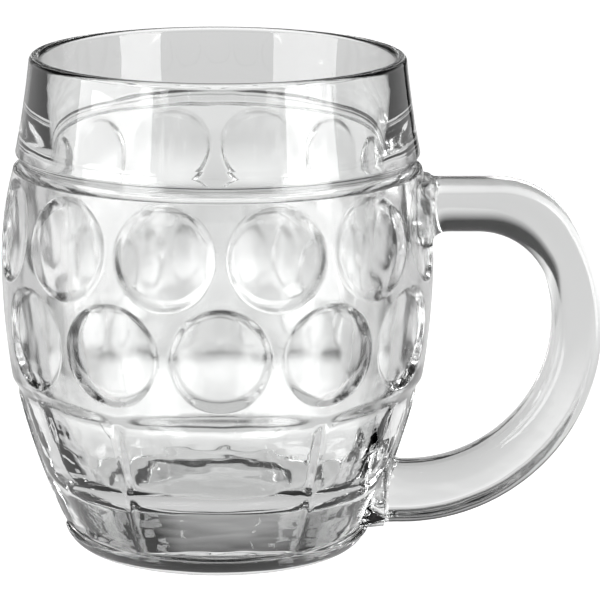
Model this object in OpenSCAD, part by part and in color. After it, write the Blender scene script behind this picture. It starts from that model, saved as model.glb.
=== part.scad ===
// Dimpled glass beer mug: a pressed glass bowl and the solid glass handle fused to it.
// Millimetres, +Z up. The bowl stands on z = 0 with its axis on Z, and the handle is towards +X.

/* [Overall] */
// Height from the table to the top of the lip
mug_h = 120; // [116:1:126]
// Widest diameter of the barrel
body_d = 103.4; // [102:0.2:106]
// Height of the widest place as a share of the mug's height
widest_share = 0.594; // [0.58:0.002:0.61]

/* [Collar] */
// How far the lip's outer edge lies inside the barrel's widest place
lip_inset = 6.7; // [5.7:0.1:7.7]
// Thickness of the glass at the lip
lip_t = 2.9; // [2.4:0.1:3.4]
// How far the collar's lower edge lies inside the barrel's widest place
collar_inset = 3.4; // [2.8:0.1:4]
// Height of the collar from its lower edge to the top of the lip
collar_h = 24; // [22:0.5:26]
// Radius of the slight hollow down the collar's outer face
collar_hollow_r = 225; // [180:5:300]
// Radius of the rounding on the collar's lower edge
collar_edge_r = 0.9; // [0.6:0.1:1.2]
// Height of the groove between the collar and the shoulder
groove_h = 3.2; // [2.8:0.1:3.6]
// Depth of that groove, measured from the collar's lower edge
groove_depth = 1.4; // [1:0.1:1.8]

/* [Barrel] */
// Radius of the barrel's curve above the widest place
shoulder_r = 82; // [78:1:90]
// Radius of the barrel's curve below the widest place
belly_r = 176; // [165:1:190]

/* [Dimples] */
// Diameter of a dimple
dimple_d = 25; // [23:0.5:26]
// Diameter of the flat floor of a dimple
dimple_floor_d = 19.2; // [17:0.2:20]
// Depth of a dimple below the barrel at its centre
dimple_depth = 2.6; // [2:0.1:2.8]
// Number of places round the barrel in each row
dimple_places = 12; // [12:1:12]
// Height of the upper row
upper_row_h = 80; // [78:0.5:82]
// Height of the lower row
lower_row_h = 56.3; // [55:0.5:58]

/* [Base panels] */
// Number of panels round the base
panel_count = 6; // [6:1:6]
// Height of the top of the panels, at the foot of their ledge
panel_top_h = 39.4; // [38:0.2:41]
// Height of the bottom of the panels
panel_foot_h = 5.6; // [5.2:0.1:6.4]
// How far the ridges between the panels lie inside the widest place, at the panels' top
ridge_top_inset = 3.6; // [3.4:0.1:4.4]
// How far the ridges lie inside the widest place, at the panels' bottom
ridge_foot_inset = 15.1; // [14.6:0.1:15.6]
// Radius of the bulge of a panel from top to bottom
panel_bulge_r = 166; // [150:2:190]
// How far behind the mug's axis the centre of a panel's sideways curve is
panel_set_back = 22; // [14:1:30]
// Slope of the ledge above a panel
ledge_slope = 45; // [40:1:55]
// Slope of the step below a panel
step_slope = 15; // [10:1:20]

/* [Foot] */
// Radius of the round edge under the foot
foot_round = 10.2; // [9.6:0.1:10.8]

/* [Inside] */
// How much the straight part of the inside narrows from the lip down, on the radius
wall_draft = 1.7; // [1.2:0.1:2.2]
// Height at which the inside starts to curve in towards the floor
inner_curve_h = 60; // [56:1:64]
// Radius of that curve
inner_belly_r = 85; // [78:1:95]
// Thickness of the bottom
floor_t = 14; // [12:0.5:16]
// Radius of the corner between the inside wall and the floor
inner_corner_r = 10; // [8:0.5:14]

/* [Handle] */
// Depth of the handle, seen from its end
handle_w = 17; // [15:0.5:19]
// Radius on the edges of the handle
handle_edge_r = 3.2; // [2.6:0.1:3.8]
// Height of the top of the handle
handle_top_h = 89.4; // [88:0.2:91]
// Height of the bottom of the handle
handle_foot_h = 6.9; // [6:0.1:8]
// How far outside the barrel's widest place the top starts to bend down
handle_reach = 15.5; // [13.5:0.1:17.5]
// Radius of the first bend of the outer edge
outer_bend_r = 20.4; // [18:0.2:23]
// Turn of the first bend of the outer edge
outer_bend_angle = 56.9; // [50:0.5:62]
// Thickness of the handle where its top leaves the bowl
handle_top_t = 11.6; // [11:0.1:12.4]
// Thickness of the handle where its bottom leaves the bowl
handle_foot_t = 13.2; // [12:0.1:13.6]
// How far outside the barrel's widest place the finger gap starts to bend down
gap_reach = 10.3; // [8.5:0.1:12]
// Radius of the first bend of the finger gap
inner_bend_r = 17.8; // [16:0.2:19]
// Turn of the first bend of the finger gap
inner_bend_angle = 71.8; // [68:0.5:74]
// Radius of the fillet in each corner between the bowl and the handle
root_fillet_r = 4; // [3:0.5:5]

/* [Hidden] */
$fn = 96;
half = 0.5;
quarter_turn = 90;
full_turn = 360;
over = 1;
lap = 0.03;
lap_angle = 8;
panel_stagger = 0.05;
kept_steps = 10000;
glass_rgb = [0.86, 0.89, 0.9];
glass_clear_share = 0.55;

// Derived heights are kept to whole ten-thousandths, so that stacked shapes meet exactly
function kept(size) = round(size * kept_steps) / kept_steps;
widest_h = kept(mug_h * widest_share);
body_r = body_d * half;
lip_r = body_r - lip_inset;
lip_round = lip_t * half;
lip_centre_r = lip_r - lip_round;
lip_centre_h = mug_h - lip_round;
collar_r = body_r - collar_inset;
collar_foot_h = mug_h - collar_h;
groove_mid_h = collar_foot_h - groove_h * half;
groove_r = groove_h * half;
groove_centre_r = collar_r - groove_depth + groove_r;
neck_r = collar_r - collar_edge_r;
outside_r = body_r + panel_set_back;
cutter_r = outside_r + panel_set_back;

ridge_top_r = body_r - ridge_top_inset;
ridge_foot_r = body_r - ridge_foot_inset;
foot_step = 0.4;
foot_flat_r = ridge_foot_r + foot_step
    - sqrt(pow(foot_round, 2) - pow(foot_round - panel_foot_h, 2));
skirt_h = panel_foot_h * 2;
skirt_r = ridge_foot_r + skirt_h - panel_foot_h;

belly_foot_h = skirt_h - over * half;
dimple_r = dimple_d * half;
dimple_floor_r = dimple_floor_d * half;
dimple_round = dimple_r - dimple_floor_r;
dimple_step = full_turn / dimple_places;

panel_step = full_turn / panel_count;
function set_back_radius(ridge) = sqrt(pow(ridge * cos(panel_step * half) + panel_set_back, 2)
    + pow(ridge * sin(panel_step * half), 2));
panel_top_r = set_back_radius(ridge_top_r);
panel_foot_r = set_back_radius(ridge_foot_r);
panel_rise = panel_top_h - panel_foot_h;
panel_lean = atan2(panel_top_r - panel_foot_r, panel_rise);
panel_chord = norm([panel_rise, panel_top_r - panel_foot_r]);
panel_arc_depth = sqrt(pow(panel_bulge_r, 2) - pow(panel_chord * half, 2));
bulge_r_place = (panel_top_r + panel_foot_r) * half - panel_arc_depth * cos(panel_lean);
bulge_h_place = (panel_top_h + panel_foot_h) * half + panel_arc_depth * sin(panel_lean);

inner_top_r = lip_r - lip_t;
inner_r = inner_top_r - wall_draft;
corner_h = floor_t + inner_corner_r;
corner_r_place = lap + inner_r - inner_belly_r
    + sqrt(pow(inner_belly_r - inner_corner_r, 2) - pow(inner_curve_h - corner_h, 2));
corner_drop = asin((inner_curve_h - corner_h) / (inner_belly_r - inner_corner_r));
corner_end_h = kept(inner_curve_h - inner_belly_r * sin(corner_drop));

band_w = handle_top_t * half + handle_edge_r * half;
handle_half_w = handle_w * half;
outer_bow_r = bow_radius(handle_top_h, handle_foot_h, outer_bend_r, outer_bend_angle);
gap_top_h = handle_top_h - handle_top_t;
gap_foot_h = handle_foot_h + handle_foot_t;
inner_bow_r = bow_radius(gap_top_h, gap_foot_h, inner_bend_r, inner_bend_angle);
root_r = lip_r * half;
top_root_r = sqrt(pow(shoulder_r, 2) - pow(gap_top_h - widest_h, 2)) + body_r - shoulder_r;
foot_root_r = ridge_foot_r
    + (ridge_top_r - ridge_foot_r) * (gap_foot_h - panel_foot_h) / panel_rise;

// Radius of the long bow that follows the first bend and ends level at the bottom
function bow_radius(top, foot, bend, turn) =
    kept((top - bend - foot + bend * cos(turn)) / (1 + cos(turn)));

// Everything inside a level band of heights, out to a radius
module slab(from_h, to_h, out_r) {
    translate([0, from_h])
        square([out_r, to_h - from_h]);
}

// Half outline of the barrel: two curves that meet at the widest place
module barrel_outline() {
    intersection() {
        translate([body_r - shoulder_r, widest_h])
            circle(r = shoulder_r);
        slab(widest_h, groove_mid_h, outside_r);
    }
    intersection() {
        translate([body_r - belly_r, widest_h])
            circle(r = belly_r);
        slab(belly_foot_h, widest_h, outside_r);
    }
}

// Half outline of the collar with its hollow face, round lower edge and lip
module collar_outline() {
    face_lean = atan2(collar_r - lip_r, collar_h - lip_round);
    face_len = norm([collar_r - lip_r, collar_h - lip_round]);
    hollow_reach = lap + sqrt(pow(collar_hollow_r, 2) - pow(face_len * half, 2));
    difference() {
        polygon([
            [0, collar_foot_h + collar_edge_r],
            [collar_r, collar_foot_h + collar_edge_r],
            [lip_r, lip_centre_h],
            [0, lip_centre_h]
        ]);
        translate([
            (collar_r + lip_r) * half + hollow_reach * cos(face_lean),
            (collar_foot_h + lip_centre_h) * half + hollow_reach * sin(face_lean)
        ])
            circle(r = collar_hollow_r, $fn = $fn * 2);
    }
    slab(collar_foot_h, collar_foot_h + collar_edge_r, collar_r - collar_edge_r);
    translate([collar_r - collar_edge_r, collar_foot_h + collar_edge_r])
        circle(r = collar_edge_r);
    translate([lip_centre_r, lip_centre_h])
        circle(r = lip_round);
    slab(lip_centre_h - lip_round, mug_h, lip_centre_r);
}

// Half outline of the foot: its round edge and the skirt that the panels cut into
module foot_outline() {
    intersection() {
        union() {
            translate([foot_flat_r, foot_round])
                circle(r = foot_round);
            slab(0, foot_round, foot_flat_r);
        }
        slab(0, panel_foot_h, outside_r);
    }
    polygon([
        [0, panel_foot_h],
        [ridge_foot_r + foot_step, panel_foot_h],
        [skirt_r, skirt_h],
        [0, skirt_h]
    ]);
}

// Half outline of the whole outside, before the dimples and the panels
module outside_outline() {
    difference() {
        union() {
            barrel_outline();
            collar_outline();
            foot_outline();
            slab(groove_mid_h, collar_foot_h, neck_r);
        }
        translate([groove_centre_r, groove_mid_h])
            circle(r = groove_r);
    }
}

// Half section of the ring that presses one panel into the base
module panel_section() {
    difference() {
        polygon([
            [panel_foot_r - over, panel_foot_h + over * tan(step_slope)],
            [cutter_r, panel_foot_h - (cutter_r - panel_foot_r) * tan(step_slope)],
            [cutter_r, panel_top_h + (cutter_r - panel_top_r) * tan(ledge_slope)],
            [panel_top_r - over, panel_top_h - over * tan(ledge_slope)]
        ]);
        translate([bulge_r_place, bulge_h_place])
            circle(r = panel_bulge_r, $fn = $fn * 2);
    }
}

// The rings for all panels, each turned about an axis behind the mug's own.
// Every other ring sits a hair higher, so that neighbours cross in clean corners.
module panel_cuts() {
    for (i = [0 : panel_count - 1])
        rotate([0, 0, i * panel_step - quarter_turn])
            translate([-panel_set_back, 0, i % 2 * panel_stagger])
                rotate_extrude()
                    panel_section();
}

// Half outline of one dimple's press, its floor at zero
module dimple_outline() {
    slab(0, dimple_round, dimple_floor_r);
    intersection() {
        translate([dimple_floor_r, dimple_round])
            circle(r = dimple_round);
        slab(0, dimple_round, dimple_r);
    }
    slab(dimple_round, dimple_round * 2, dimple_r);
}

// One dimple's press, square to the barrel at its height
module dimple_cut(turn, height, curve_r) {
    lean = asin((height - widest_h) / curve_r);
    place_r = body_r - curve_r * (1 - cos(lean));
    rotate([0, 0, turn])
        translate([place_r, 0, height])
            rotate([0, quarter_turn - lean, 0])
                translate([0, 0, -dimple_depth])
                    rotate_extrude()
                        dimple_outline();
}

// Both rows: twelve in the upper one, ten in the lower one, which passes under the handle
module dimple_cuts() {
    for (i = [0 : dimple_places - 1])
        dimple_cut((i + half) * dimple_step, upper_row_h, shoulder_r);
    for (i = [0 : dimple_places - 1])
        if (i % (dimple_places * half) != 0)
            dimple_cut(i * dimple_step, lower_row_h, belly_r);
}

// The bowl as a solid block of glass
module bowl_blank() {
    difference() {
        rotate_extrude()
            outside_outline();
        panel_cuts();
        dimple_cuts();
    }
}

// Half outline of the inside: a wall that narrows a little downwards, as the plunger left it,
// a curve in towards the floor and a round corner. Each outline reaches a hair past the next,
// so that they cross in clean edges.
module inside_outline() {
    difference() {
        union() {
            polygon([
                [0, inner_curve_h],
                [inner_r - lap, inner_curve_h],
                [inner_top_r + lap, lip_centre_h],
                [0, lip_centre_h]
            ]);
            intersection() {
                translate([inner_r - inner_belly_r, inner_curve_h])
                    circle(r = inner_belly_r, $fn = $fn * 2);
                slab(corner_end_h, inner_curve_h + inner_corner_r * half, outside_r);
            }
            intersection() {
                translate([corner_r_place, corner_h])
                    circle(r = inner_corner_r);
                slab(floor_t, corner_h, outside_r);
            }
            slab(floor_t, corner_h, corner_r_place);
            slab(lip_centre_h - lap, mug_h + over, lip_centre_r);
        }
        translate([lip_centre_r, lip_centre_h])
            circle(r = lip_round);
    }
}

module bowl() {
    color(glass_rgb, glass_clear_share)
        difference() {
            bowl_blank();
            rotate_extrude()
                inside_outline();
        }
}

// Section of one long edge of the handle, the edge itself at zero
module edge_section() {
    translate([-band_w, -handle_half_w])
        square([band_w - handle_edge_r, handle_w]);
    translate([-band_w, -handle_half_w + handle_edge_r])
        square([band_w, handle_w - handle_edge_r * 2]);
    for (side = [-1, 1])
        translate([-handle_edge_r, side * (handle_half_w - handle_edge_r)])
            circle(r = handle_edge_r);
}

// The edge section at a radius, facing outwards or inwards
module edge_at(radius, facing) {
    translate([radius, 0])
        if (facing > 0)
            edge_section();
        else
            mirror([1, 0])
                edge_section();
}

// A bend of one edge, from one angle to another, in the plane of the handle
module bend(radius, facing, from_turn, to_turn) {
    rotate([quarter_turn, 0, 0])
        rotate_extrude(angle = to_turn - from_turn, start = from_turn)
            edge_at(radius, facing);
}

// A straight run of one edge from the bowl outwards, on the upper or lower side
module run(height, to_x, facing, upper) {
    translate([root_r, 0, height])
        rotate([0, quarter_turn, 0])
            linear_extrude(height = to_x - root_r)
                mirror([upper > 0 ? 1 : 0, 0])
                    edge_at(0, facing);
}

// One edge of the handle: top run, first bend, long bow and bottom run.
// The bend reaches into the bow and lies a hair outside it, so that the two cross in one clean edge.
module edge_rail(top, foot, start_x, bend_r, turn, bow_r, facing) {
    bow_x = kept(start_x - (bow_r - bend_r) * sin(turn));
    bow_h = foot + bow_r;
    run(top + facing * lap, start_x, facing, 1);
    translate([start_x, 0, top - bend_r])
        bend(bend_r + facing * lap, facing, quarter_turn - turn - lap_angle, quarter_turn);
    translate([bow_x, 0, bow_h])
        bend(bow_r, facing, -quarter_turn, quarter_turn - turn);
    run(foot, bow_x, facing, -1);
}

// The fillet in a corner of the finger gap, upper or lower
module root_fillet(root_x, height, upper) {
    width = handle_w - handle_edge_r * 2;
    translate([root_x, width * half, height])
        rotate([quarter_turn, 0, 0])
            linear_extrude(height = width)
                difference() {
                    translate([-root_fillet_r, upper > 0 ? -root_fillet_r : -over])
                        square([root_fillet_r * 2, root_fillet_r + over]);
                    translate([root_fillet_r, -upper * root_fillet_r])
                        circle(r = root_fillet_r);
                }
}

module handle() {
    color(glass_rgb, glass_clear_share)
        difference() {
            union() {
                edge_rail(handle_top_h, handle_foot_h, body_r + handle_reach,
                    outer_bend_r, outer_bend_angle, outer_bow_r, 1);
                edge_rail(gap_top_h, gap_foot_h, body_r + gap_reach,
                    inner_bend_r, inner_bend_angle, inner_bow_r, -1);
                root_fillet(top_root_r, gap_top_h, 1);
                root_fillet(foot_root_r, gap_foot_h - lap, -1);
            }
            bowl_blank();
        }
}

bowl();
handle();
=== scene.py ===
import math

import bmesh
import bpy
import numpy as np
from mathutils import Matrix, Vector, geometry
from mathutils.bvhtree import BVHTree


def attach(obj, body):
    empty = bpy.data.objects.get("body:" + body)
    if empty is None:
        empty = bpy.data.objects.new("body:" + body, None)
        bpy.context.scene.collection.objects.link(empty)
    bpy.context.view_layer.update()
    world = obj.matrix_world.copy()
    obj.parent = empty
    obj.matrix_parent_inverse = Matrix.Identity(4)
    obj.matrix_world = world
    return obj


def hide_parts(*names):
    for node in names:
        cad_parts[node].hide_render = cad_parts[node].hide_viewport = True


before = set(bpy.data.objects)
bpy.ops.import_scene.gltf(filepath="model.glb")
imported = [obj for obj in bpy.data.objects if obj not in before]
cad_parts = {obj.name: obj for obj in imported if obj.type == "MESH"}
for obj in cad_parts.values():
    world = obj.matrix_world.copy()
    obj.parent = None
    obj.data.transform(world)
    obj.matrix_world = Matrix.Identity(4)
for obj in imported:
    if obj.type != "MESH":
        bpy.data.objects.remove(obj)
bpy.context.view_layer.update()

# ---- Camera ----
# A long lens a little over a metre in front of the mug, above the lip and looking down on it,
# so that the mouth shows as a narrow ellipse and the handle stands to the right.

camera = bpy.data.objects.new("camera", bpy.data.cameras.new("camera"))
bpy.context.scene.collection.objects.link(camera)
camera.data.sensor_width = 36
camera.data.lens = 282.06
pitch, yaw, roll = (math.radians(a) for a in (11.884, 1.807, 0.282))
ahead = Vector((
    math.sin(yaw) * math.cos(pitch), math.cos(yaw) * math.cos(pitch), -math.sin(pitch)))
level = Vector((math.cos(yaw), -math.sin(yaw), 0))
upright = level.cross(ahead)
right = level * math.cos(roll) + upright * math.sin(roll)
up = upright * math.cos(roll) - level * math.sin(roll)
camera.matrix_world = Matrix((right, up, -ahead)).transposed().to_4x4()
camera.location = (-0.015063, -1.104598, 0.292819)
bpy.context.scene.camera = camera

# ---- Bowl ----
# The pressed bowl: thick clear soda-lime glass, shaped in one stroke between a mould with the
# dimples and base panels in it and a smooth plunger that left the inside, then fire-polished.
# One sixth, a panel wide, is drawn here; Geometry Nodes set six in a ring and press the dimples.

mm = 0.001
bowl_h, widest_r, widest_h = 120 * mm, 51.7 * mm, 71.28 * mm
shoulder_curve, belly_curve = 82 * mm, 176 * mm
lip_r, lip_t = 45 * mm, 2.9 * mm
collar_r, collar_foot_h, collar_hollow, collar_edge = 48.3 * mm, 96 * mm, 225 * mm, 0.9 * mm
groove_r, groove_centre = 1.6 * mm, (48.5 * mm, 94.4 * mm)
row_heights = {"Upper row": 80 * mm, "Lower row": 56.3 * mm}
row_curves = {"Upper row": shoulder_curve, "Lower row": belly_curve}
dimple_floor, dimple_edge, dimple_depth, dimple_sag = 9.2 * mm, 3.4 * mm, 2.7 * mm, 0.7 * mm
panel_top, panel_foot = 39.4 * mm, 5.6 * mm
ridge_top_r, ridge_foot_r, panel_back = 48.1 * mm, 36.6 * mm, 22 * mm
panel_bulge = 166 * mm
foot_round, foot_swell, foot_flat = 10.2 * mm, 8.9 * mm, 28.9 * mm
ridge_bead, panel_sink = 1.1 * mm, 0.4 * mm
crest_foot, crest_growth, crest_fade = 0.45 * mm, 0.45 * mm, 0.05
ledge_soft, step_soft, ridge_soft, blank_soft = 2.0 * mm, 1.0 * mm, 1.1 * mm, 1.2 * mm
step_slope = math.radians(15)
hollow_h = 1.25 * mm
hollow_rings = ((5, 1.22), (12, 1.15), (18, 1.0), (22, 0.82), (24.5, 0.6), (25.8, 0.35),
                (26.6, 0.12), (27.3, 0))
inside_r, inside_curve_h, inside_curve, inside_corner, floor_h = (
    40.4 * mm, 60 * mm, 85 * mm, 11.5 * mm, 16.4 * mm)
sector, columns = math.radians(60), 50
barrel_foot, barrel_top = 42.95 * mm, 92.6 * mm


def soft_min(a, b, blend):
    """The lesser of two, with the corner between them rounded over."""
    near = np.clip(1 - np.abs(a - b) / blend, 0, None)
    return np.minimum(a, b) - near ** 2 * blend / 4


def soft_max(a, b, blend):
    """The greater of two, with the corner between them filled in."""
    return -soft_min(-a, -b, blend)


def behind(radius, turn):
    """Distance of a place on the bowl from the axis that a panel's curve turns about."""
    return np.hypot(radius * np.cos(turn) + panel_back, radius * np.sin(turn))


def panel_radius(turn, height):
    """Radius that the mould's panels leave, with their ledges above and steps below."""
    top, foot = behind(ridge_top_r, sector / 2), behind(ridge_foot_r, sector / 2)
    lean = math.atan2(top - foot, panel_top - panel_foot)
    half_chord = math.hypot(top - foot, panel_top - panel_foot) / 2
    hollow = math.sqrt(panel_bulge ** 2 - half_chord ** 2)
    middle_r = (top + foot) / 2 - hollow * math.cos(lean)
    middle_h = (panel_top + panel_foot) / 2 + hollow * math.sin(lean)
    face = middle_r + np.sqrt(panel_bulge ** 2 - (height - middle_h) ** 2)
    ledge = top + (height - panel_top)
    step = foot + (panel_foot - height) / math.tan(step_slope)
    reach = soft_max(soft_max(face, ledge, ledge_soft), step, step_soft)
    radius = None
    for neighbour in (0, -sector, sector):
        side = turn - neighbour
        cut = np.sqrt(reach ** 2 - (panel_back * np.sin(side)) ** 2) - panel_back * np.cos(side)
        radius = cut if radius is None else soft_min(radius, cut, ridge_soft)
    rise = np.clip((height - panel_foot) / (panel_top - panel_foot), 0, 1)
    from_ridge = radius * np.sin(sector / 2 - np.abs(turn))
    crest = (crest_foot + crest_growth * rise) * np.clip((1 - rise) / crest_fade, 0, 1)
    return radius - panel_sink + crest * np.exp(-(from_ridge / ridge_bead) ** 2)


def outer_radius(turn, height):
    """Radius of the outside below the groove, before the dimples are pressed."""
    curve = np.where(height > widest_h, shoulder_curve, belly_curve)
    barrel = widest_r - curve + np.sqrt(curve ** 2 - (height - widest_h) ** 2)
    under = np.clip(foot_round - height, 0, None)
    foot = foot_flat + foot_swell * np.sqrt(1 - (under / foot_round) ** 2)
    blank = np.where(height < panel_foot + 1 * mm, np.minimum(foot, barrel), barrel)
    return soft_min(blank, panel_radius(turn, height), blank_soft)


def arc(centre, radius, start, end, steps):
    """Points along a circle's arc in the half outline, angles in degrees."""
    turns = np.radians(np.linspace(start, end, steps + 1))
    return np.stack([centre[0] + radius * np.cos(turns), centre[1] + radius * np.sin(turns)], 1)


sector_points, sector_faces = [], []


def add_points(turns, radii, heights):
    """Adds points of the sector and gives their numbers."""
    turns, radii, heights = np.broadcast_arrays(*np.atleast_1d(turns, radii, heights))
    first = len(sector_points)
    sector_points.extend(zip(radii * np.cos(turns), radii * np.sin(turns), heights))
    return np.arange(first, len(sector_points))


def add_strip(rows):
    """Faces between rows of points, where a row of one point is a pole."""
    for low, high in zip(rows, rows[1:]):
        for i in range(max(len(low), len(high)) - 1):
            if len(low) == 1:
                sector_faces.append((low[0], high[i + 1], high[i]))
            elif len(high) == 1:
                sector_faces.append((low[i], low[i + 1], high[0]))
            else:
                sector_faces.append((low[i], low[i + 1], high[i + 1], high[i]))


across = np.linspace(-1, 1, columns + 1)
turns = sector / 2 * (across + 0.6 * np.sin(math.pi * across) / math.pi)
turns[0], turns[-1] = -sector / 2, sector / 2

# The foot and the panels: the slight hollow underneath, the round edge, and the step, panel
# and ledge, with closer rows where the shape turns sharply.
rows = [add_points(0.0, 0.0, hollow_h)[:1]]
rows += [add_points(turns, radius * mm, height * mm) for radius, height in hollow_rings]
for height in np.concatenate([
        arc((foot_flat, foot_round), foot_round, -90, -36, 12)[:, 1],
        np.arange(4.4, 6.3, 0.15) * mm, np.arange(6.9, 38.5, 1.05) * mm,
        np.arange(38.7, 42.9, 0.22) * mm, [barrel_foot]]):
    rows.append(add_points(turns, outer_radius(turns, height), height))
add_strip(rows)

# The collar, the lip and the inside, drawn as one outline from the groove over the lip and
# down to the middle of the floor.
lip_centre = (lip_r - lip_t / 2, bowl_h - lip_t / 2)
face_lean = math.atan2(collar_r - lip_r, lip_centre[1] - collar_foot_h - collar_edge)
half_face = math.hypot(collar_r - lip_r, lip_centre[1] - collar_foot_h - collar_edge) / 2
hollow_out = math.sqrt(collar_hollow ** 2 - half_face ** 2)
hollow_centre = (
    (collar_r + lip_r) / 2 + hollow_out * math.cos(face_lean),
    (collar_foot_h + collar_edge + lip_centre[1]) / 2 + hollow_out * math.sin(face_lean))
half_turn = math.degrees(math.asin(half_face / collar_hollow))
hollow_turn = 180 + math.degrees(face_lean)
corner_out = inside_r - inside_curve + math.sqrt(
    (inside_curve - inside_corner) ** 2 - (inside_curve_h - floor_h - inside_corner) ** 2)
corner_drop = math.degrees(math.asin(
    (inside_curve_h - floor_h - inside_corner) / (inside_curve - inside_corner)))
inside_top = lip_r - lip_t
outline = np.concatenate([
    [(48.86 * mm, 92.68 * mm), (48.83 * mm, 92.80 * mm), (48.74 * mm, 92.88 * mm)],
    arc(groove_centre, groove_r, -84, -226, 14)[1:],
    arc((collar_r - collar_edge, collar_foot_h + collar_edge), collar_edge, -100, 0, 8),
    arc(hollow_centre, collar_hollow, hollow_turn + half_turn, hollow_turn - half_turn, 14)[1:],
    arc(lip_centre, lip_t / 2, 0, 180, 16)[1:],
    np.stack([np.linspace(inside_top, inside_r, 15),
              np.linspace(lip_centre[1], inside_curve_h, 15)], 1)[1:],
    arc((inside_r - inside_curve, inside_curve_h), inside_curve, 0, -corner_drop, 18)[1:],
    arc((corner_out, floor_h + inside_corner), inside_corner, -corner_drop, -90, 10)[1:],
    [(corner_out * share, floor_h) for share in (0.9, 0.65, 0.35)],
])
rows = [add_points(turns, outer_radius(turns, barrel_top), barrel_top)]
rows += [add_points(turns, radius, height) for radius, height in outline]
rows.append(add_points(0.0, 0.0, floor_h)[:1])
add_strip(rows)

# The barrel between them, with its points set in rings where the dimples will be pressed.
ring_radii = np.concatenate([
    [2.5, 5, 7.2, 8.7, 9.3, 9.7, 10.1, 10.5, 10.85], np.arange(11.15, 12.95, 0.2)]) * mm
edge_heights = np.arange(barrel_foot, barrel_top, 1.1 * mm)
spots = [(side * sector / 2, h) for side in (-1, 1) for h in (barrel_foot, barrel_top)]
spots += [(turn, h) for turn in turns[1:-1] for h in (barrel_foot, barrel_top)]
fixed = len(spots)
for row, shift in (("Upper row", 0.5), ("Lower row", 0.0)):
    height, curve = row_heights[row], row_curves[row]
    lean = math.asin((height - widest_h) / curve)
    place = widest_r - curve * (1 - math.cos(lean))
    for number in range(-1, 2) if row == "Lower row" else (-1, 0):
        centre_turn = (number + shift) * sector / 2
        spots.append((centre_turn, height))
        for radius in ring_radii:
            around = 4 * max(3, round(radius / mm * 1.5))
            angle = np.arange(around) * 2 * math.pi / around
            side, rise, out = radius * np.cos(angle), radius * np.sin(angle), np.zeros(around)
            for _ in range(5):
                x = place + out * math.cos(lean) - rise * math.sin(lean)
                z = height + out * math.sin(lean) + rise * math.cos(lean)
                barrel = widest_r - curve + np.sqrt(curve ** 2 - (z - widest_h) ** 2)
                out -= np.hypot(x, side) - barrel
            spots += list(zip(centre_turn + np.arctan2(side, x), z))
spots = np.array(spots)
on_seam = np.abs(np.abs(spots[:, 0]) - sector / 2) < 1e-5
spots[on_seam, 0] = np.sign(spots[on_seam, 0]) * sector / 2
margin = 0.3 * mm
within = (np.abs(spots[:, 0]) <= sector / 2) & (spots[:, 1] > barrel_foot + margin) & (
    spots[:, 1] < barrel_top - margin)
within[:fixed] = True
spots = spots[within]


def spaced(kept, more, gap):
    """The spots kept so far, and those of more that lie at least a gap from every one kept."""
    kept, cells = [tuple(spot) for spot in kept], {}
    for number, spot in enumerate(kept + [tuple(spot) for spot in more]):
        column, row = math.floor(spot[0] * widest_r / gap), math.floor(spot[1] / gap)
        near = (other for i in (-1, 0, 1) for j in (-1, 0, 1)
                for other in cells.get((column + i, row + j), ()))
        if number < len(kept) or all(
                math.hypot((spot[0] - other[0]) * widest_r, spot[1] - other[1]) > gap
                for other in near):
            cells.setdefault((column, row), []).append(spot)
    return np.array([spot for cell in cells.values() for spot in cell])


kept = spaced(spots[:fixed], spots[fixed:], 0.12 * mm)
for side in (-1, 1):
    kept = spaced(kept, [(side * sector / 2, h) for h in edge_heights], 0.5 * mm)
grid = [(turn + (i % 2) * 0.5 * mm / widest_r, h)
        for i, h in enumerate(np.arange(barrel_foot + 0.5 * mm, barrel_top - 0.4 * mm, 0.95 * mm))
        for turn in np.arange(-sector / 2 + 0.01, sector / 2 - 0.01, 1.05 * mm / widest_r)]
kept = spaced(kept, grid, 0.62 * mm)
flat = [Vector((turn * widest_r / mm, height / mm)) for turn, height in kept]
corners, _, triangles = geometry.delaunay_2d_cdt(flat, [], [], 0, 1e-7)[:3]
spread = np.array([tuple(c) for c in corners]) * mm
barrel_turns, barrel_heights = spread[:, 0] / widest_r, spread[:, 1]
numbers = add_points(barrel_turns, outer_radius(barrel_turns, barrel_heights), barrel_heights)
sector_faces += [tuple(numbers[list(t)]) for t in triangles]

sector_mesh = bpy.data.meshes.new("pressed_bowl")
sector_mesh.from_pydata(sector_points, [], [[int(i) for i in face] for face in sector_faces])
bowl = bpy.data.objects.new("pressed_bowl", sector_mesh)
bpy.context.scene.collection.objects.link(bowl)


class Wire:
    """An output socket in a node tree, on which sums are written as they are on paper."""

    def __init__(self, tree, socket=None):
        self.tree, self.socket = tree, socket

    def node(self, kind, settings=None, sockets=None, out=0):
        """Adds a node: its settings first, then the values or links of its sockets."""
        new = self.tree.nodes.new(kind)
        for name, value in (settings or {}).items():
            setattr(new, name, value)
        for name, value in (sockets or {}).items():
            if isinstance(value, Wire):
                self.tree.links.new(value.socket, new.inputs[name])
            else:
                new.inputs[name].default_value = value
        return Wire(self.tree, new.outputs[out]) if new.outputs else None

    def maths(self, operation, *values):
        return self.node("ShaderNodeMath", {"operation": operation}, dict(enumerate(values)))

    def __add__(self, other):
        return self.maths("ADD", self, other)

    def __sub__(self, other):
        return self.maths("SUBTRACT", self, other)

    def __rsub__(self, other):
        return self.maths("SUBTRACT", other, self)

    def __mul__(self, other):
        return self.maths("MULTIPLY", self, other)

    def __truediv__(self, other):
        return self.maths("DIVIDE", self, other)

    def __rtruediv__(self, other):
        return self.maths("DIVIDE", other, self)

    __radd__, __rmul__ = __add__, __mul__

    def held(self, low, high):
        """The value kept from going below low or above high."""
        return self.maths("MINIMUM", self.maths("MAXIMUM", self, low), high)

    def out(self, name):
        """Another output of the same node."""
        return Wire(self.tree, self.socket.node.outputs[name])


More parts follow.
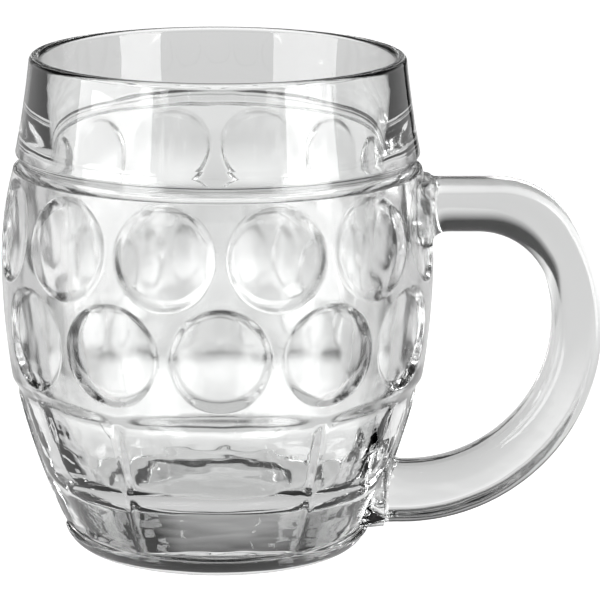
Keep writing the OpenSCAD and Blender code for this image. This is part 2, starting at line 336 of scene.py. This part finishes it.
press_steepness = 9
pressing = bpy.data.node_groups.new("press the bowl", "GeometryNodeTree")
pressing.interface.new_socket("Glass sector", in_out="INPUT", socket_type="NodeSocketGeometry")
sizes = {
    "Sectors": 6, "Dimples in a row": 12,
    "Widest radius": widest_r, "Widest height": widest_h,
    "Dimple floor": dimple_floor, "Dimple edge": dimple_edge, "Dimple depth": dimple_depth,
    "Dimple sag": dimple_sag,
    "Softness": 1.6 * mm,
    "Upper row height": row_heights["Upper row"], "Upper row curve": row_curves["Upper row"],
    "Lower row height": row_heights["Lower row"], "Lower row curve": row_curves["Lower row"],
}
for name, value in sizes.items():
    kind = "NodeSocketInt" if isinstance(value, int) else "NodeSocketFloat"
    pressing.interface.new_socket(name, in_out="INPUT", socket_type=kind)
pressing.interface.new_socket("Glass", in_out="INPUT", socket_type="NodeSocketMaterial")
pressing.interface.new_socket("Bowl", in_out="OUTPUT", socket_type="NodeSocketGeometry")

given = Wire(pressing).node("NodeGroupInput")
ring = given.node("GeometryNodeMeshLine", sockets={
    "Count": given.out("Sectors"), "Offset": (0, 0, 0)})
ring_turn = (given.node("GeometryNodeInputIndex") + 0.5) * (math.tau / given.out("Sectors"))
shape = given.node("GeometryNodeInstanceOnPoints", sockets={
    "Points": ring, "Instance": given.out("Glass sector"),
    "Rotation": given.node("ShaderNodeCombineXYZ", sockets={"Z": ring_turn})})
shape = given.node("GeometryNodeRealizeInstances", sockets={"Geometry": shape})
shape = given.node("GeometryNodeMergeByDistance", sockets={"Geometry": shape, "Distance": 2e-6})


def press_row(shape, row, shift):
    """Pushes the glass in along each dimple's own axis until it lies against the press."""
    height, curve = given.out(row + " height"), given.out(row + " curve")
    lean = given.maths("ARCSINE", (height - given.out("Widest height")) / curve)
    up, level = given.maths("SINE", lean), given.maths("COSINE", lean)
    place = given.out("Widest radius") - curve * (1 - level)
    spot = given.node("ShaderNodeSeparateXYZ", sockets={0: given.node("GeometryNodeInputPosition")})
    x, y, z = spot.out("X"), spot.out("Y"), spot.out("Z")
    turn = given.maths("ARCTAN2", y, x)
    pitch = math.tau / given.out("Dimples in a row")
    own_turn = (given.maths("ROUND", turn / pitch - shift) + shift) * pitch
    radius = given.maths("SQRT", x * x + y * y)
    side = radius * given.maths("SINE", turn - own_turn)
    away = radius * given.maths("COSINE", turn - own_turn) - place
    above = away * level + (z - height) * up
    along = (z - height) * level - away * up
    from_axis = given.maths("SQRT", side * side + along * along)
    edge = given.out("Dimple edge")
    bend = (from_axis - given.out("Dimple floor")).held(0, edge)
    beyond = given.maths("MAXIMUM", from_axis - given.out("Dimple floor") - edge, 0)
    dish = given.maths("MINIMUM", from_axis / given.out("Dimple floor"), 1)
    press = (edge - given.maths("SQRT", edge * edge - bend * bend) - given.out("Dimple depth")
             + beyond * press_steepness + given.out("Dimple sag") * (dish * dish - 0.5))
    move = given.maths("SMOOTH_MIN", above, press, given.out("Softness")) - above
    level_move = move * level
    sockets = {"Geometry": shape, "Offset": given.node("ShaderNodeCombineXYZ", sockets={
        "X": level_move * given.maths("COSINE", own_turn),
        "Y": level_move * given.maths("SINE", own_turn), "Z": move * up})}
    if shift == 0:
        sockets["Selection"] = given.maths(
            "GREATER_THAN", given.maths("ABSOLUTE", given.maths("SINE", own_turn)), 0.1)
    return given.node("GeometryNodeSetPosition", sockets=sockets)


shape = press_row(press_row(shape, "Upper row", 0.5), "Lower row", 0)
shape = given.node("GeometryNodeSetShadeSmooth", sockets={0: shape})
shape = given.node("GeometryNodeRealizeInstances", sockets={"Geometry": shape})
shape = given.node("GeometryNodeSetMaterial", sockets={
    "Geometry": shape, "Material": given.out("Glass")})
given.node("NodeGroupOutput", sockets={0: shape})

# Clear glass, wavy inside and at the base as it sets against the plunger and the mould, a touch
# soft where the dimples were pressed, and worn where it stands on the table.
wave_scale, chill_scale, scuff_scale, wave_height = 130.0, 170.0, 900.0, 0.45 * mm
pressed_roughness, worn_roughness, worn_height = 0.14, 0.25, 0.6 * mm
wavy_depth = 2.6 * mm
clear_glass = bpy.data.materials.new("clear_glass")
clear_glass.use_nodes = True
clear_glass.node_tree.nodes.clear()
glass = Wire(clear_glass.node_tree)
place = glass.node("ShaderNodeTexCoord").out("Object")
spot = glass.node("ShaderNodeSeparateXYZ", sockets={0: place})
width, depth, height = spot.out("X"), spot.out("Y"), spot.out("Z")
radius = glass.maths("SQRT", width * width + depth * depth)
drop = glass.maths("MAXIMUM", inside_curve_h - height, 0)
inside = glass.maths("SQRT", inside_curve ** 2 - drop * drop) + (
    inside_r - inside_curve + wavy_depth)
inside = glass.maths("GREATER_THAN", inside, radius) * (
    (99 * mm - height) / (12 * mm)).held(0, 1) * ((height - 12 * mm) / (18 * mm)).held(0, 1)
waves = glass.node("ShaderNodeTexNoise", {"noise_dimensions": "3D"}, {
    "Vector": glass.node("ShaderNodeVectorMath", {"operation": "MULTIPLY"}, {
        0: place, 1: (1, 1, 0.45)}), "Scale": wave_scale, "Detail": 1.0, "Roughness": 0.4})
ripple = glass.node("ShaderNodeTexNoise", {"noise_dimensions": "3D"}, {
    "Vector": place, "Scale": wave_scale, "Detail": 1.0, "Roughness": 0.4})
scuffs = glass.node("ShaderNodeTexNoise", {"noise_dimensions": "3D"}, {
    "Vector": place, "Scale": scuff_scale, "Detail": 3.0, "Roughness": 0.6})
worn = glass.maths("MAXIMUM", 1 - height / worn_height, 0.0) * scuffs
chill = glass.node("ShaderNodeTexNoise", {"noise_dimensions": "3D"}, {
    "Vector": glass.node("ShaderNodeVectorMath", {"operation": "MULTIPLY"}, {
        0: place, 1: (0.5, 0.5, 1.7)}), "Scale": chill_scale, "Detail": 1.0, "Roughness": 0.4})
base = ((42 * mm - height) / (6 * mm)).held(0, 1)
pressed_zone = (1 - base) * ((100 * mm - height) / (8 * mm)).held(0, 1)
wavy = glass.node("ShaderNodeBump", sockets={
    "Height": ripple * 0.06 + waves * inside * 1.3 + chill * base * 0.3,
    "Strength": 1.0, "Distance": wave_height})
surface = glass.node("ShaderNodeBsdfPrincipled", sockets={
    "Base Color": glass.node("ShaderNodeMix", {"data_type": "RGBA"}, {
        "Factor": ripple, 6: (0.985, 0.992, 0.988, 1), 7: (0.995, 0.998, 0.996, 1)}, out=2),
    "Roughness": worn * worn_roughness + pressed_zone * pressed_roughness,
    "IOR": 1.5, "Transmission Weight": 1.0, "Normal": wavy})
glass.node("ShaderNodeOutputMaterial", sockets={"Surface": surface})

press = bowl.modifiers.new("press", "NODES")
press.node_group = pressing
sizes["Glass"] = clear_glass
for socket in pressing.interface.items_tree:
    if socket.in_out == "INPUT" and socket.name in sizes:
        press[socket.identifier] = sizes[socket.name]
bpy.context.view_layer.update()
pressed = bpy.data.meshes.new_from_object(
    bowl.evaluated_get(bpy.context.evaluated_depsgraph_get()))
bowl.modifiers.remove(press)
bowl.data = pressed
shell = bmesh.new()
shell.from_mesh(pressed)
bmesh.ops.recalc_face_normals(shell, faces=shell.faces)
shell.to_mesh(pressed)
shell.free()
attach(bowl, "root")
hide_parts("bowl")

# ---- Handle ----
# A bow of the same glass, drawn from a gather and put on hot: its two ends are pressed against
# the outside of the bowl and spread a little there, and its edges are rounded by the fire.

handle_depth, handle_edge, hand_edge = 17 * mm, 2.3 * mm, (4.4 * mm, 6.2 * mm)
handle_top, handle_foot, gap_top, gap_foot = 89.4 * mm, 6.9 * mm, 77.8 * mm, 20.1 * mm
outer_start, outer_bend, outer_angle = 67.2 * mm, 20.4 * mm, 56.9
inner_start, inner_bend, inner_angle = 62 * mm, 17.8 * mm, 71.8
gap_fillet, side_spread, weld = 4 * mm, 1.2 * mm, 0.6 * mm
run_steps, bow_steps, corner_steps, cap_shares = 16, 132, 8, (0.75, 0.5, 0.25)
side_parts, edge_parts = 4, 7


def bow_edge(top, foot, start, bend, angle):
    """One long edge: points of its bend and its bow, by the angle that they face."""
    turn = math.radians(angle)
    bow = (top - bend - foot + bend * math.cos(turn)) / (1 + math.cos(turn))
    bow_x, bow_h = start - (bow - bend) * math.sin(turn), foot + bow

    def place(facing):
        if facing > 90 - angle:
            radius, x, z = bend, start, top - bend
        else:
            radius, x, z = bow, bow_x, bow_h
        return np.array([x + radius * math.cos(math.radians(facing)),
                         z + radius * math.sin(math.radians(facing))])
    return place


outer_edge = bow_edge(handle_top, handle_foot, outer_start, outer_bend, outer_angle)
inner_edge = bow_edge(gap_top, gap_foot, inner_start, inner_bend, inner_angle)
bowl_shape = BVHTree.FromObject(bowl, bpy.context.evaluated_depsgraph_get())


def bowl_reach(y, z):
    """How far out the finished bowl comes at this place, on the handle's side."""
    return bowl_shape.ray_cast(Vector((0.2, y, z)), Vector((-1, 0, 0)))[0].x


def run_sections(outer_end, inner_end):
    """Edge points of a level run, from the bowl to where its bends begin."""
    root = bowl_reach(0, (outer_end[1] + inner_end[1]) / 2)
    rows = []
    for step in range(run_steps + 1):
        share = (step / run_steps) ** 1.6
        rows.append([np.array([root + (end[0] - root) * share, end[1]])
                     for end in (outer_end, inner_end)])
    return root, rows


def corner_spread(gap, radius):
    """How far a fillet stands off its side at a distance from the bowl."""
    reach = min(max(radius - gap, 0), radius)
    return radius - math.sqrt(radius ** 2 - reach ** 2)


top_root, sections = run_sections(outer_edge(90), inner_edge(90))
sections += [[outer_edge(a), inner_edge(a)] for a in np.linspace(90, -90, bow_steps + 1)[1:-1]]
foot_root, foot_sections = run_sections(outer_edge(-90), inner_edge(-90))
sections += foot_sections[::-1]

handle_mesh = bmesh.new()
loops = []
for number, (outer, inner) in enumerate(sections):
    upper = number < len(sections) / 2
    on_run = not run_steps < number < len(sections) - run_steps - 1
    gap = max(0.0, min(outer[0], inner[0]) - (top_root if upper else foot_root)) if on_run else 1.0
    along = (outer - inner) / np.linalg.norm(outer - inner)
    outer = outer + along * corner_spread(gap, side_spread)
    inner = inner - along * corner_spread(gap, gap_fillet)
    thick, half = np.linalg.norm(outer - inner), handle_depth / 2 + corner_spread(gap, side_spread)
    middle = (outer + inner) / 2
    loop = []
    for side, level, start in ((1, 1, 0), (-1, 1, 90), (-1, -1, 180), (1, -1, 270)):
        for step in range(corner_steps + 1):
            turn = math.radians(start + step * 90 / corner_steps)
            round_y, round_z = (handle_edge, handle_edge) if level > 0 else hand_edge
            y = side * (half - round_y) + round_y * math.cos(turn)
            rise = level * (thick / 2 - round_z) + round_z * math.sin(turn)
            x, z = middle + along * rise
            loop.append((x, y, z))
    outline = []
    for i, point in enumerate(loop):
        outline.append(point)
        corner, step = divmod(i, corner_steps + 1)
        if step == corner_steps:
            after = loop[(i + 1) % len(loop)]
            parts = edge_parts if corner in (0, 2) else side_parts
            outline += [tuple(a + (b - a) * k / parts for a, b in zip(point, after))
                        for k in range(1, parts)]
    loops.append([handle_mesh.verts.new(point) for point in outline])

for near, far in zip(loops, loops[1:]):
    for i in range(len(near)):
        handle_mesh.faces.new((near[i], near[i - 1], far[i - 1], far[i]))

# Each end is closed by a cap that lies a little inside the bowl, where the glass has fused.
for loop in (loops[0], loops[-1]):
    for corner in loop:
        corner.co.x = bowl_reach(corner.co.y, corner.co.z) - weld
    ring, centre_z = loop, sum(corner.co.z for corner in loop) / len(loop)
    for share in cap_shares:
        nearer = []
        for corner in loop:
            y, z = corner.co.y * share, centre_z + (corner.co.z - centre_z) * share
            nearer.append(handle_mesh.verts.new((bowl_reach(y, z) - weld, y, z)))
        for i in range(len(loop)):
            handle_mesh.faces.new((ring[i], ring[i - 1], nearer[i - 1], nearer[i]))
        ring = nearer
    middle = handle_mesh.verts.new((bowl_reach(0, centre_z) - weld, 0, centre_z))
    for i in range(len(loop)):
        handle_mesh.faces.new((ring[i], ring[i - 1], middle))
bmesh.ops.recalc_face_normals(handle_mesh, faces=handle_mesh.faces)
for face in handle_mesh.faces:
    face.smooth = True
drawn_handle = bpy.data.objects.new("drawn_handle", bpy.data.meshes.new("drawn_handle"))
bpy.context.scene.collection.objects.link(drawn_handle)
handle_mesh.to_mesh(drawn_handle.data)
handle_mesh.free()
drawn_handle.data.materials.append(clear_glass)
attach(drawn_handle, "root")
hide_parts("handle")

# ---- Table and screen ----
# A white table top whose glow to the glass is painted light, brighter in front of the mug and in a
# pool behind it, with painted shade round its foot, and a screen whose glow is painted shade,
# darker upwards and to the right. Both are white to the camera, and the table keeps a faint shadow.


def pale(name, painted_glow):
    """A pale surface: white to the camera, and to the glass a glow of painted light and shade, its
    brightness given by place.
    """
    finish = bpy.data.materials.new(name)
    finish.use_nodes = True
    finish.node_tree.nodes.clear()
    paper = Wire(finish.node_tree)
    spot = paper.node("ShaderNodeSeparateXYZ", sockets={
        0: paper.node("ShaderNodeTexCoord").out("Object")})
    glow = paper.node("ShaderNodeEmission", sockets={
        "Color": (1, 1, 1, 1), "Strength": painted_glow(paper, spot.out("X"), spot.out("Y"), spot.out("Z"))})
    shaded = paper.node("ShaderNodeAddShader", sockets={
        0: paper.node("ShaderNodeEmission", sockets={"Color": (1, 1, 1, 1), "Strength": 0.86}),
        1: paper.node("ShaderNodeBsdfDiffuse", sockets={"Color": (0.9, 0.9, 0.9, 1)})})
    paper.node("ShaderNodeOutputMaterial", sockets={
        "Surface": paper.node("ShaderNodeMixShader", sockets={
            0: paper.node("ShaderNodeLightPath").out("Is Camera Ray"), 1: glow, 2: shaded})})
    return finish


def sheet(name, corners, finish):
    """A flat four-cornered surface."""
    mesh = bpy.data.meshes.new(name)
    mesh.from_pydata(corners, [], [(0, 1, 2, 3)])
    mesh.materials.append(finish)
    flat_sheet = bpy.data.objects.new(name, mesh)
    bpy.context.scene.collection.objects.link(flat_sheet)


def painted_table_light(paper, x, y, z):
    """Painted light: even, brighter in front and in a pool behind the mug, with painted shade round
    its foot.
    """
    pool_y, pool_reach, foot_r, foot_reach = 0.15, 0.14, 36 * mm, 10 * mm
    # Painted light and shade: the pool behind the mug and the brighter front are painted light, and
    # the ring round the foot is a painted contact shadow.
    from_pool = paper.maths("SQRT", x * x + (y - pool_y) * (y - pool_y))
    pool = paper.maths("MAXIMUM", 1 - from_pool / pool_reach, 0)
    from_foot = paper.maths("ABSOLUTE", paper.maths("SQRT", x * x + y * y) - foot_r)
    shade = paper.maths("MAXIMUM", 1 - from_foot / foot_reach, 0)
    front = ((-0.05 - y) / 0.15).held(0, 1)
    return 0.65 + 0.5 * pool + 0.2 * front - 0.14 * shade


def painted_screen_light(paper, x, y, z):
    """Painted light: bright at the table, with painted shade darker upwards and to the right."""
    rightward = paper.maths("MAXIMUM", x - 0.12, 0)
    return paper.maths("MAXIMUM", 0.82 - z * 3.0 - rightward * 2.4, 0.03)


half_table, table_front, table_back, table_h = 0.28, -0.36, 0.95, -0.5 * mm
sheet("table", [(-half_table, table_front, table_h), (half_table, table_front, table_h),
                (half_table, table_back, table_h), (-half_table, table_back, table_h)],
      pale("table_white", painted_table_light))
half_screen, screen_y, screen_low, screen_high = 0.55, 0.96, -0.3, 0.65
sheet("screen", [(-half_screen, screen_y, screen_low), (half_screen, screen_y, screen_low),
                 (half_screen, screen_y, screen_high), (-half_screen, screen_y, screen_high)],
      pale("screen_white", painted_screen_light))

# ---- Studio lights ----
# Two tall softboxes in front of the mug, one on each side, which reach below the table top, in
# a dim room that is pale at the level of the table and a little lighter below it than above.

lamp_tall, lamp_away, lamp_h, lamp_aim_h = 1.4, 0.9, 0.1, 0.06


def softbox(name, azimuth, wide, strength):
    """A tall lamp that stands away from the mug and is turned to it."""
    lamp = bpy.data.lights.new(name, "AREA")
    lamp.shape, lamp.size, lamp.size_y = "RECTANGLE", wide, lamp_tall
    lamp.energy = strength * math.pi * wide * lamp_tall
    holder = bpy.data.objects.new(name, lamp)
    bpy.context.scene.collection.objects.link(holder)
    turn = math.radians(azimuth)
    holder.location = (lamp_away * math.sin(turn), -lamp_away * math.cos(turn), lamp_h)
    aim = Vector((0, 0, lamp_aim_h)) - holder.location
    holder.rotation_euler = aim.to_track_quat("-Z", "Y").to_euler()


softbox("right_softbox", 54, 0.50, 6)
softbox("left_softbox", -64, 0.85, 5)

world = bpy.data.worlds.new("room")
bpy.context.scene.world = world
world.use_nodes = True
world.node_tree.nodes.clear()
room = Wire(world.node_tree)
up_down = room.node("ShaderNodeSeparateXYZ", sockets={
    0: room.node("ShaderNodeTexCoord").out("Generated")}).out("Z")
above_glow, level_glow, level_reach, below_glow = 0.05, 0.92, 0.3, 0.26
from_level = room.maths("ABSOLUTE", up_down) / level_reach
room_glow = above_glow + level_glow * room.maths("MAXIMUM", 1 - from_level, 0)
room_glow = room.maths("MAXIMUM", room_glow, below_glow * room.maths("LESS_THAN", up_down, 0))
seen = room.node("ShaderNodeLightPath").out("Is Camera Ray")
room.node("ShaderNodeOutputWorld", sockets={"Surface": room.node("ShaderNodeBackground", sockets={
    "Color": (1, 1, 1, 1), "Strength": room_glow + seen * (1 - room_glow)})})
bpy.context.scene.view_settings.view_transform = "Standard"
bpy.context.scene.cycles.max_bounces = 24
bpy.context.scene.cycles.transmission_bounces = 24
